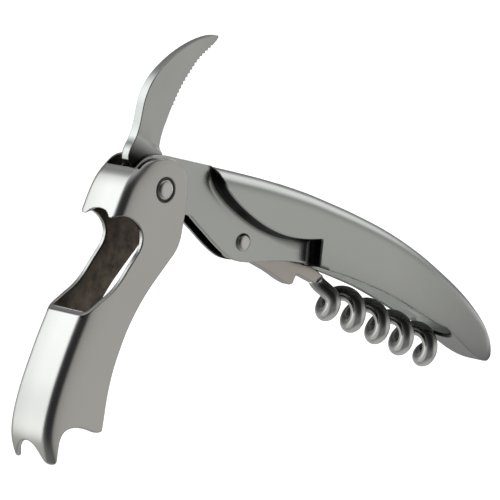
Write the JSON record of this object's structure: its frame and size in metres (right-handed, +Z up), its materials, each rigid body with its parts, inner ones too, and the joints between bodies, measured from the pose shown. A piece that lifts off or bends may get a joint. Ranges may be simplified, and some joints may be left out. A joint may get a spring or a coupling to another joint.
{
  "type": "lever corkscrew",
  "caption": "Folding pocket corkscrew with a hollow metal handle, a hinged fulcrum lever with a cap-lifter window, a curved serrated foil blade and a swinging helical worm.",
  "frame": {"origin": "on the surface the corkscrew stands on, under the middle of its length and of its width", "axes": "+X from the lever foot towards the tail of the handle, along the handle seen from above; +Y across the tool, from the near side to the far side; +Z up. The XZ plane through the origin is the tool's middle plane."},
  "size_m": [0.1428, 0.013, 0.0812],
  "materials": {
    "handle_steel": "satin",
    "lever_steel": "satin",
    "blade_steel": "satin, polished spine",
    "shank_steel": "satin",
    "worm_steel": "polished",
    "rivet_steel": "satin",
    "spacer_steel": "turned",
    "shim_brass": "plain sheet"
  },
  "bodies": {
    "handle": {"handle_body": "handle_steel", "main_rivet": "rivet_steel", "worm_rivet": "rivet_steel", "pivot_spacer_near": "spacer_steel", "pivot_spacer_far": "spacer_steel", "blade_shim_near": "shim_brass", "blade_shim_far": "shim_brass", "worm_shim_near": "shim_brass", "worm_shim_far": "shim_brass"},
    "lever": {"lever": "lever_steel"},
    "blade": {"foil_blade": "blade_steel"},
    "worm": {"worm": "worm_steel", "worm_shank": "shank_steel"}
  },
  "joints": [
    {"name": "lever_fold", "type": "hinge", "parent": "handle", "child": "lever", "pos_m": [-0.03995, 0, 0.05186], "axis": [0, -1, 0], "range_deg": [-5, 88]},
    {"name": "blade_fold", "type": "hinge", "parent": "handle", "child": "blade", "pos_m": [-0.03995, 0, 0.05186], "axis": [0, 1, 0], "range_deg": [0, 75]},
    {"name": "worm_swing", "type": "hinge", "parent": "handle", "child": "worm", "pos_m": [-0.01365, 0, 0.03766], "axis": [0, 1, 0], "range_deg": [-8, 104]}
  ]
}
